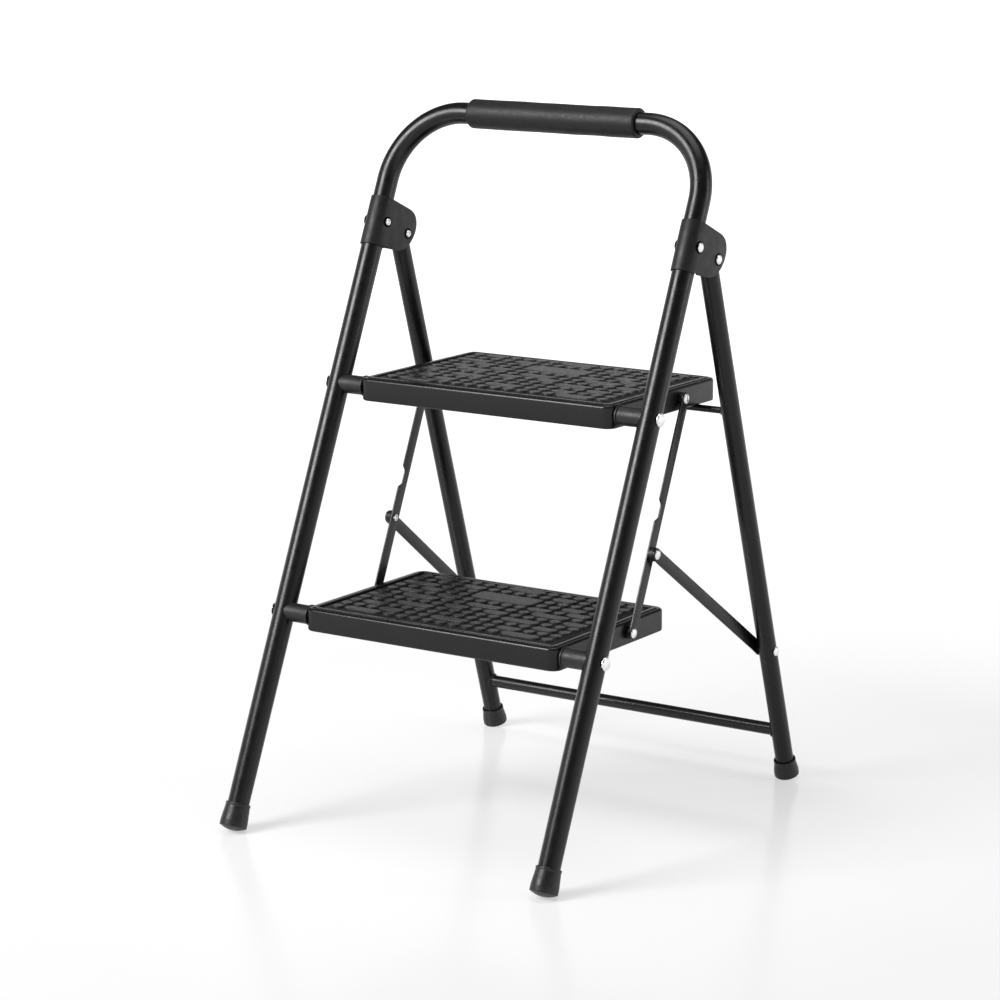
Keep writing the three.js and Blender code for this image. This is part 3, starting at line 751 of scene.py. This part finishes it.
def add_bracket_rivets(name, side):
    """The two rivets through a bracket, with a near-black ring under each head and each tail: painted shade
    that stands in for the shadow round it.
    """
    seat = FRONT_RADIUS + GAP + BRACKET_SHEET + GAP / 2
    outer_start = seat - SHADE_RING_SINK
    inner_start = -seat - SHADE_RING_THICKNESS + SHADE_RING_SINK
    for use, behind in (("fixing", 0), ("pivot", PIVOT_BEHIND)):
        matrix = moved(FRONT, x=side * LEG_OFFSET, y=behind, z=BRACKET_RIVETS_ALONG)
        node = f"{name}_bracket_{use}_rivet"
        add_turned_x(
            f"{name}_{use}_rivet", rivet_outline(-seat, seat), matrix, "front_frame", "zinc", [node], side,
        )
        for face, start, reach in (("outer", outer_start, RIVET_HEAD), ("inner", inner_start, RIVET_TAIL)):
            # Painted shade: a near-black ring round the head or tail stands in for its shadow.
            washer = add_ring(
                f"{name}_{use}_{face}_washer", start, start + SHADE_RING_THICKNESS, reach + SHADE_RING_MARGIN,
                matrix, "front_frame", [], side,
            )
            washer.data.materials[0] = PAINTED_SHADE_RING


# ---------------------------------------------------------------- axles and spacers


def add_axle(name, matrix):
    seat = LEG_OFFSET + FRONT_RADIUS + GAP / 2
    head = dome(seat, AXLE_HEAD_RADIUS, AXLE_HEAD_HEIGHT)
    mirror = [(-along, radius) for along, radius in reversed(head)]
    outline = [*mirror, (-seat, AXLE_RADIUS), (seat, AXLE_RADIUS), *head]
    add_turned_x(f"{name}_axle_rod", outline, matrix, "front_frame", "zinc", [f"{name}_axle"])


def saddle(bm, tube_radius, from_x):
    """Moves the vertices beyond from_x onto the side of a leg tube whose axis is along Z."""
    for vertex in bm.verts:
        if vertex.co.x > from_x:
            inside = max(tube_radius ** 2 - vertex.co.y ** 2, 0)
            vertex.co.x = LEG_OFFSET - math.sqrt(inside)


def add_spacer(name, side_name, side, matrix):
    """A sleeve from the tray to the leg, with a rim against the tray and a saddle on the tube."""
    start = TRAY_HALF_WIDTH + GAP / 2
    outline = rounded([
        (start, AXLE_RADIUS + GAP, 0),
        (start, SPACER_RIM_RADIUS, SPACER_ROUND),
        (start + SPACER_RIM_WIDTH, SPACER_RIM_RADIUS, SPACER_ROUND),
        (start + SPACER_RIM_WIDTH, SPACER_RADIUS, SPACER_ROUND),
        (LEG_OFFSET, SPACER_RADIUS, 0),
        (LEG_OFFSET, AXLE_RADIUS + GAP, 0),
    ], steps=5, closed=True)
    bm = bmesh.new()
    turned(bm, outline, closed=True)
    bm.transform(ALONG_X)
    saddle(bm, FRONT_RADIUS, LEG_OFFSET - 1)
    node = f"{name}_{side_name}_spacer"
    add_piece(f"{name}_{side_name}_sleeve", bm, matrix, "front_frame", "black_plastic", [node], side)


# ---------------------------------------------------------------- steps


def tray_loop(inset, height):
    """The tray's outline drawn in by inset, at a height above the axle."""
    corner = max(TRAY_CORNER - inset, TRAY_INNER_CORNER)
    back = TRAY_FRONT + TRAY_DEPTH
    outline = rectangle(TRAY_HALF_WIDTH - inset, TRAY_FRONT + inset, back - inset, corner)
    return [(x, y, height) for x, y in outline]


def tray_section():
    """The tray's section from under the deck round the skirt to the deck, as (inset, height)."""
    deck = TRAY_TOP - TRAY_RECESS
    bottom = TRAY_TOP - TRAY_HEIGHT
    middle = TRAY_RIM + TRAY_DECK_MARGIN
    crest = TRAY_TOP + TRAY_STEP_HEIGHT
    underside = [
        (middle - TRAY_SHEET, deck - TRAY_SHEET, 0),
        (TRAY_RIM - TRAY_SHEET, deck - TRAY_SHEET, TRAY_UNDER_ROUND),
        (TRAY_RIM - TRAY_SHEET, TRAY_TOP - TRAY_SHEET, TRAY_UNDER_ROUND),
        (TRAY_SHEET, TRAY_TOP - TRAY_SHEET, TRAY_EDGE - TRAY_SHEET),
    ]
    hem = [
        (TRAY_SHEET, bottom + TRAY_SHEET, TRAY_HEM_BEND - TRAY_SHEET),
        (TRAY_HEM, bottom + TRAY_SHEET, TRAY_HEM_EDGE),
        (TRAY_HEM, bottom, TRAY_HEM_EDGE),
        (0, bottom, TRAY_HEM_BEND),
    ]
    border = [
        (0, TRAY_TOP, TRAY_EDGE),
        (TRAY_STEP, TRAY_TOP, TRAY_STEP_FOOT),
        (TRAY_STEP + TRAY_STEP_RUN, crest, TRAY_STEP_CREST),
        (TRAY_RIM, crest, TRAY_LIP),
        (TRAY_RIM, deck, TRAY_DECK_ROUND),
        (middle, deck, 0),
    ]
    return rounded(underside + hem + border, steps=7)


def add_tray(name, matrix):
    """Pressed sheet: a hemmed skirt, a rounded shoulder, a stepped border and a sunk deck."""
    bm = bmesh.new()
    lofted(bm, [tray_loop(inset, height) for inset, height in tray_section()])
    add_piece(f"{name}_tray", bm, matrix, f"{name}_step", "black_paint", [f"{name}_step_tray"])


# Each row of studs from the back, as the number of cells that each stud covers from left to right;
# BLANK is the plain plate, which covers two rows.
BLANK = -5
STUD_ROWS = [
    [1, 2, 1, 1, 1, 1, 3, 1, 1, 1, 1, 1, 1, 1],
    [1, 1, 1, 1, 2, 1, 1, 1, 1, 1, 2, 1, 1, 1, 1],
    [3, 1, 1, 1, BLANK, 1, 1, 1, 1, 1, 1],
    [1, 1, 2, 1, 1, BLANK, 1, 1, 2, 1, 1],
    [1, 2, 1, 2, 1, 1, 1, 1, 1, 2, 1, 2, 1],
    [1, 1, 3, 1, 1, 3, 1, 1, 3, 1, 1],
    [2, 1, 1, 1, 1, 2, 1, 2, 1, 1, 1, 1, 2],
    [1, 1, 1, 3, 1, 1, 1, 1, 1, 3, 1, 1, 1],
    [1, 2, 1, 1, 1, 1, 1, 1, 1, 1, 1, 1, 1, 2, 1],
    [1, 1, 1, 2, 1, 1, 3, 1, 1, 2, 1, 1, 1],
    [1, 3, 1, 1, 1, 1, 1, 1, 1, 1, 1, 3, 1],
]
STUD_COLUMNS = 17


def add_stud(bm, x, y, half_x, half_y, plane, height):
    """One low stud with drafted sides, a soft top edge and rounded corners."""
    top = plane + height
    corners = [(0, plane - STUD_ROOT, 0), (STUD_DRAFT, top, STUD_ROUND), (STUD_CROWN, top, 0)]
    loops = []
    for inset, z in rounded(corners, steps=4):
        corner = max(STUD_CORNER - inset, STUD_INNER_CORNER)
        outline = rectangle(half_x - inset, -half_y + inset, half_y - inset, corner, steps=5)
        loops.append([(x + u, y + v, z) for u, v in outline])
    lofted(bm, loops)


def stud_places():
    """The middle and half size of each stud, from the middle of the mat."""
    for row, runs in enumerate(STUD_ROWS):
        column = 0
        y = ((len(STUD_ROWS) - 1) / 2 - row) * STUD_PITCH
        for cells in runs:
            width = abs(cells)
            x = (column + (width - STUD_COLUMNS) / 2) * STUD_PITCH
            column += width
            half_x = (STUD_WIDTH + (width - 1) * STUD_PITCH) / 2
            if cells > 0:
                yield x, y, half_x, STUD_DEPTH / 2
            elif row and BLANK in STUD_ROWS[row - 1]:
                yield x, y + STUD_PITCH / 2, half_x, (STUD_DEPTH + STUD_PITCH) / 2


def add_mat(name, matrix):
    """A rubber mat on the deck, its plain border round a square grid of studs."""
    deck = TRAY_TOP - TRAY_RECESS + GAP / 2
    plane = TRAY_TOP + MAT_PLANE
    front = TRAY_FRONT + TRAY_RIM + MAT_END_GAP
    back = TRAY_FRONT + TRAY_DEPTH - TRAY_RIM - MAT_END_GAP
    bm = bmesh.new()
    loops = []
    for inset, z in rounded([(0, deck, 0), (0, plane, MAT_EDGE), (MAT_MARGIN, plane, 0)], steps=5):
        corner = max(MAT_CORNER - inset, MAT_INNER_CORNER)
        outline = rectangle(MAT_HALF_WIDTH - inset, front + inset, back - inset, corner)
        loops.append([(x, y, z) for x, y in outline])
    lofted(bm, loops)
    for face in bm.faces:
        face.material_index = 1
    middle = (front + back) / 2
    for x, y, half_x, half_y in stud_places():
        add_stud(bm, x, middle + y, half_x, half_y, plane, STUD_HEIGHT)
    mat = add_piece(f"{name}_mat", bm, matrix, f"{name}_step", "mat_rubber", [f"{name}_step_mat"])
    mat.data.materials.append(MAT_GROOVE)


def add_link_fixings(name, side_name, side, matrix):
    """The rivet and washer that carry a link bar on the side of a tray."""
    outline = rivet_outline(TRAY_HALF_WIDTH - TRAY_SHEET - GAP / 2, LINK_INNER + BAR_THICKNESS + GAP / 2)
    key = f"{name}_{side_name}_link"
    body = f"{name}_step"
    add_turned_x(f"{key}_stud", outline, matrix, body, "zinc", [f"{key}_rivet"], side)
    add_ring(
        f"{key}_ring", TRAY_HALF_WIDTH + GAP / 2, LINK_INNER - GAP / 2, WASHER_RADIUS, matrix, body,
        [f"{key}_washer"], side,
    )


def add_ring(name, start, end, radius, matrix, body, nodes, side):
    """A black plastic washer or short spacer round a rivet's shank; the bracket rivets' rings of painted
    shade are made with it too.
    """
    bore = RIVET_SHANK + GAP / 2
    corners = [(start, bore), (start, radius), (end, radius), (end, bore)]
    outline = rounded([(along, reach, RING_ROUND) for along, reach in corners], steps=4, closed=True)
    return add_turned_x(name, outline, matrix, body, "black_plastic", nodes, side, closed=True)


# ---------------------------------------------------------------- flat bars


def bar_rows(length, notch=()):
    """Rows across a flat bar with round ends, as (along, front edge, back edge)."""
    half = BAR_WIDTH / 2
    steps = 12
    turns = [math.pi / 2 * step / steps for step in range(1, steps + 1)]
    ends = [(half * math.cos(a), half * math.sin(a)) for a in turns]
    rows = [(-past, -reach, reach) for past, reach in ends]
    rows += [(along, front, half) for along, front in notch]
    rows += [(length + past, -reach, reach) for past, reach in reversed(ends)]
    return rows


def add_bar(name, length, rows, x_at, matrix, body, node, side):
    """A flat bar whose inner face follows x_at along its length."""
    bm = bmesh.new()
    edges = []
    for along, front, back in rows:
        edges.append([bm.verts.new((x_at(along), y, along)) for y in (front, back)])
    for lower, upper in zip(edges, edges[1:]):
        bm.faces.new((lower[0], lower[1], upper[1], upper[0]))
    for along, pair in ((-BAR_WIDTH / 2, edges[0]), (length + BAR_WIDTH / 2, edges[-1])):
        tip = bm.verts.new((x_at(along), 0, along))
        bm.faces.new((pair[0], tip, pair[1]))
    for face in bm.faces:
        face.normal_update()
        if face.normal.x > 0:
            face.normal_flip()
    thicken(bm, BAR_THICKNESS)
    add_piece(name, bm, matrix, body, "black_paint", [node], side, edge=BAR_EDGE)


def link_notch():
    """The cut in a link bar's front edge that clears the upper spacer."""
    edge = -BAR_WIDTH / 2
    top = LINK_LENGTH - NOTCH_TOP
    bottom = LINK_LENGTH - NOTCH_BOTTOM
    corners = [
        (bottom, edge, 0),
        (bottom + NOTCH_RAMP, NOTCH_FLOOR, NOTCH_ROUND),
        (top - NOTCH_RAMP, NOTCH_FLOOR, NOTCH_ROUND),
        (top, edge, 0),
    ]
    return [(point.x, point.y) for point in rounded(corners, steps=6)]


def add_link_bar(name, side):
    rows = bar_rows(LINK_LENGTH, link_notch())
    add_bar(
        f"{name}_link", LINK_LENGTH, rows, lambda along: LINK_INNER, LINK, "link_bars", f"{name}_link_bar",
        side,
    )


def strut_x(along):
    """Inner face of a strut: flat at both ends and set over sideways between them."""
    foot = LEG_OFFSET - REAR_RADIUS - GAP - BAR_THICKNESS
    top = LINK_INNER + BAR_THICKNESS + STRUT_SPACER_LENGTH + 2 * GAP
    share = (along - STRUT_FLAT_END) / (STRUT_LENGTH - 2 * STRUT_FLAT_END)
    share = min(max(share, 0), 1)
    return foot + (top - foot) * share


def add_strut(name, side):
    foot_bend = [STRUT_FLAT_END - STRUT_BEND, STRUT_FLAT_END]
    bends = foot_bend + [STRUT_LENGTH - along for along in reversed(foot_bend)]
    rows = bar_rows(STRUT_LENGTH, [(along, -BAR_WIDTH / 2) for along in bends])
    add_bar(f"{name}_strut_bar", STRUT_LENGTH, rows, strut_x, STRUT, "struts", f"{name}_strut", side)


def add_strut_fixings(name, side):
    """The rivet and spacer where a strut meets its link bar, split where the CAD splits them."""
    at_link = moved(LINK, z=LINK_LENGTH * STRUT_ON_LINK)
    at_strut = moved(STRUT, z=STRUT_LENGTH)
    split = LINK_INNER + BAR_THICKNESS + STRUT_SPACER_LENGTH + 2 * GAP
    shank_end = split - GAP
    shank = [*rivet_tail(LINK_INNER - GAP / 2), (shank_end, RIVET_SHANK), (shank_end, 0)]
    add_turned_x(
        f"{name}_strut_tail", shank, at_link, "link_bars", "zinc", [f"{name}_strut_rivet_shank"], side,
    )
    start = LINK_INNER + BAR_THICKNESS + GAP / 2
    add_ring(
        f"{name}_strut_ring", start, split - GAP / 2, STRUT_SPACER_RADIUS, at_link, "link_bars",
        [f"{name}_strut_spacer"], side,
    )
    head_seat = split + BAR_THICKNESS + GAP / 2
    head = [(split + GAP, 0), (split + GAP, RIVET_SHANK), (head_seat, RIVET_SHANK)]
    head += dome(head_seat, RIVET_HEAD, RIVET_DOME)
    add_turned_x(f"{name}_strut_head", head, at_strut, "struts", "zinc", [f"{name}_strut_rivet_head"], side)


# ---------------------------------------------------------------- rear frame


def add_rear_leg(name, side):
    """A tube with its upper end open between the bracket's ears."""
    start = REAR_FLOOR + REAR_CAP["rim"] + TUBE_IN_CAP
    bore = REAR_RADIUS - REAR_WALL
    outline = rounded([
        (start, 0, 0),
        (start, REAR_RADIUS, 0),
        (REAR_TOP, REAR_RADIUS, REAR_RIM_ROUND),
        (REAR_TOP, bore, REAR_BORE_ROUND),
        (REAR_TOP - REAR_OPEN_DEPTH, bore, 0),
        (REAR_TOP - REAR_OPEN_DEPTH, 0, 0),
    ], steps=4)
    bm = bmesh.new()
    turned(bm, outline)
    matrix = moved(REAR, x=side * LEG_OFFSET)
    add_piece(f"rear_{name}_tube", bm, matrix, "rear_frame", "black_paint", [f"rear_{name}_leg"])


def add_crossbar(name, radius, from_pivot):
    """A round bar between the rear legs, its ends saddled to the tubes."""
    bm = bmesh.new()
    outline = [(-LEG_OFFSET, 0), (-LEG_OFFSET, radius), (LEG_OFFSET, radius), (LEG_OFFSET, 0)]
    turned(bm, outline)
    bm.transform(ALONG_X)
    for vertex in bm.verts:
        side = math.copysign(1, vertex.co.x)
        vertex.co.x = side * (LEG_OFFSET - math.sqrt(REAR_RADIUS ** 2 - vertex.co.y ** 2))
    matrix = moved(REAR, z=-from_pivot)
    add_piece(f"rear_{name}_bar", bm, matrix, "rear_frame", "black_paint", [f"rear_{name}_crossbar"])


def add_weld(name, radius, from_pivot, side, size):
    """A rippled weld bead round the end of a crossbar, where it meets the leg."""
    around = 96
    across = 12
    ripples = round(2 * math.pi * radius / WELD_RIPPLE)
    along_bar = Vector((1, 0, 0))
    loops = []
    for step in range(around):
        angle = 2 * math.pi * step / around
        out = Vector((0, math.cos(angle), math.sin(angle)))
        seat = LEG_OFFSET - math.sqrt(REAR_RADIUS ** 2 - (radius * out.y) ** 2)
        middle = along_bar * seat + out * radius
        ripple = WELD_RIPPLE_DEPTH * math.sin(ripples * angle)
        uneven = WELD_UNEVEN * noise.noise(out * 2 + along_bar * side)
        bead = size * (1 + ripple + uneven)
        turns = [2 * math.pi * index / across for index in range(across)]
        loops.append([middle + bead * (math.cos(t) * out + math.sin(t) * along_bar) for t in turns])
    bm = bmesh.new()
    lofted(bm, loops, fill=False)
    rings = list(bm.verts)
    join_rings(bm, rings[-across:], rings[:across])
    matrix = moved(REAR, z=-from_pivot)
    add_piece(f"rear_{name}_weld", bm, matrix, "rear_frame", "black_paint", [], side, smooth=80)


def add_rear_rivet(name, side):
    seat = LEG_OFFSET - REAR_RADIUS - GAP - BAR_THICKNESS
    outline = rivet_outline(seat - GAP / 2, LEG_OFFSET + REAR_RADIUS + GAP / 2)
    matrix = moved(REAR, z=-STRUT_FROM_PIVOT)
    node = f"rear_{name}_strut_rivet"
    add_turned_x(f"rear_{name}_rivet", outline, matrix, "rear_frame", "zinc", [node], side)


# ---------------------------------------------------------------- the ladder


def add_ladder():
    add_front_tube()
    add_grip()
    for name, side in SIDES:
        add_cap(
            f"front_{name}_foot", FRONT_CAP, FRONT_LEAN, FRONT_RADIUS, FRONT, side, "front_frame",
            f"front_{name}_foot_cap",
        )
        add_bracket(name, side)
        add_bracket_rivets(name, side)
        add_link_bar(name, side)
        add_strut(name, side)
        add_strut_fixings(name, side)
        add_rear_leg(name, side)
        add_rear_rivet(name, side)
        add_cap(
            f"rear_{name}_foot", REAR_CAP, REAR_LEAN, REAR_RADIUS, moved(REAR, z=REAR_FLOOR), side,
            "rear_frame", f"rear_{name}_foot_cap",
        )
        add_weld(f"{name}_lower", LOWER_BAR_RADIUS, LOWER_BAR_FROM_PIVOT, side, LOWER_WELD)
        add_weld(f"{name}_upper", UPPER_BAR_RADIUS, UPPER_BAR_FROM_PIVOT, side, UPPER_WELD)
    add_crossbar("lower", LOWER_BAR_RADIUS, LOWER_BAR_FROM_PIVOT)
    add_crossbar("upper", UPPER_BAR_RADIUS, UPPER_BAR_FROM_PIVOT)
    for name, at, along in (
        ("upper", UPPER_AXLE, UPPER_AXLE_ALONG), ("lower", LOWER_AXLE, LOWER_AXLE_ALONG),
    ):
        on_leg = moved(FRONT, z=along)
        add_axle(name, on_leg)
        step = level(at)
        add_tray(name, step)
        add_mat(name, step)
        link_seat = level(at + LINK_TOP - UPPER_AXLE)
        for side_name, side in SIDES:
            add_spacer(name, side_name, side, on_leg)
            add_link_fixings(name, side_name, side, link_seat)


# ---------------------------------------------------------------- studio

CAMERA_AT = Vector((2.0365, -3.0714, 1.1440))
CAMERA_LOOKS_AT = Vector((0.0065, -0.0451, 0.3768))
CAMERA_ROLL = math.radians(-0.12)
CAMERA_LENS = 116.64
CAMERA_SENSOR = 36
CAMERA_RANGE = 100

LIGHTS_AIM = Vector((0, 0, 0.4))
SOFTBOXES = (  # name, place, width and height, watts, spread in degrees
    ("key", (-1.25, -2.1, 2.0), (1.3, 1.3), 23, 80),
    ("overhead", (0.1, 0.2, 2.6), (1.6, 1.6), 24, 180),
    ("right_strip", (2.6, 1.2, 1.5), (0.5, 1.8), 14, 180),
)

FLOOR_HALF = 30
FLOOR_GLOW = (0.52, 0.88)  # near the ladder and far from it
FLOOR_GLOW_FROM = (0.7, 3.5)  # the two distances from the ladder
HORIZON = (0.15, 0.42)  # height on the unit sphere where the backdrop starts and stops dimming
BACKDROP = (1.0, 0.1)  # brightness before and after it dims


def add_camera():
    data = bpy.data.cameras.new("camera")
    data.lens = CAMERA_LENS
    data.sensor_width = CAMERA_SENSOR
    data.clip_end = CAMERA_RANGE
    camera = bpy.data.objects.new("camera", data)
    aim = (CAMERA_LOOKS_AT - CAMERA_AT).to_track_quat("-Z", "Y").to_matrix().to_4x4()
    camera.matrix_world = Matrix.Translation(CAMERA_AT) @ aim @ Matrix.Rotation(CAMERA_ROLL, 4, "Z")
    bpy.context.scene.collection.objects.link(camera)
    bpy.context.scene.camera = camera


def add_softbox(name, at, size, energy, spread):
    """A rectangular area light turned to the ladder."""
    data = bpy.data.lights.new(name, "AREA")
    data.spread = math.radians(spread)
    data.shape = "RECTANGLE"
    data.size, data.size_y = size
    data.energy = energy
    light = bpy.data.objects.new(name, data)
    direction = LIGHTS_AIM - Vector(at)
    light.matrix_world = Matrix.Translation(at) @ direction.to_track_quat("-Z", "Y").to_matrix().to_4x4()
    bpy.context.scene.collection.objects.link(light)


def add_floor():
    """A wide pale floor that mirrors the feet faintly and brightens into the backdrop."""
    bm = bmesh.new()
    bmesh.ops.create_grid(bm, x_segments=1, y_segments=1, size=FLOOR_HALF)
    mesh = bpy.data.meshes.new("floor")
    bm.to_mesh(mesh)
    bm.free()
    floor = bpy.data.objects.new("floor", mesh)
    bpy.context.scene.collection.objects.link(floor)
    surface = Surface("floor", metallic=0.0, specular=0.5)
    surface.colour(surface.noise(700), dark=(0.39, 0.39, 0.39), light=(0.41, 0.41, 0.41))
    surface.roughness(surface.noise(300), low=0.16, high=0.2)
    distance = surface.tree.nodes.new("ShaderNodeVectorMath")
    distance.operation = "LENGTH"
    surface.link(surface.place, distance.inputs[0])
    glow = surface.spread(distance.outputs["Value"], *FLOOR_GLOW, *FLOOR_GLOW_FROM)
    surface.link(glow, surface.shader.inputs["Emission Strength"])
    surface.shader.inputs["Emission Color"].default_value = (1, 1, 1, 1)
    mesh.materials.append(surface.material)


def add_backdrop():
    """White all round up to a low height, and a dim ceiling above it."""
    world = bpy.data.worlds.new("studio")
    world.use_nodes = True
    nodes = world.node_tree.nodes
    place = nodes.new("ShaderNodeTexCoord")
    height = nodes.new("ShaderNodeSeparateXYZ")
    fade = nodes.new("ShaderNodeMapRange")
    fade.interpolation_type = "SMOOTHSTEP"
    fade.inputs["From Min"].default_value, fade.inputs["From Max"].default_value = HORIZON
    fade.inputs["To Min"].default_value, fade.inputs["To Max"].default_value = BACKDROP
    link = world.node_tree.links.new
    link(place.outputs["Generated"], height.inputs["Vector"])
    link(height.outputs["Z"], fade.inputs["Value"])
    link(fade.outputs["Result"], nodes["Background"].inputs["Strength"])
    nodes["Background"].inputs["Color"].default_value = (1, 1, 1, 1)
    bpy.context.scene.world = world
    bpy.context.scene.view_settings.view_transform = "Standard"


def add_studio():
    add_backdrop()
    add_floor()
    for softbox in SOFTBOXES:
        add_softbox(*softbox)
    add_camera()


add_ladder()
add_studio()
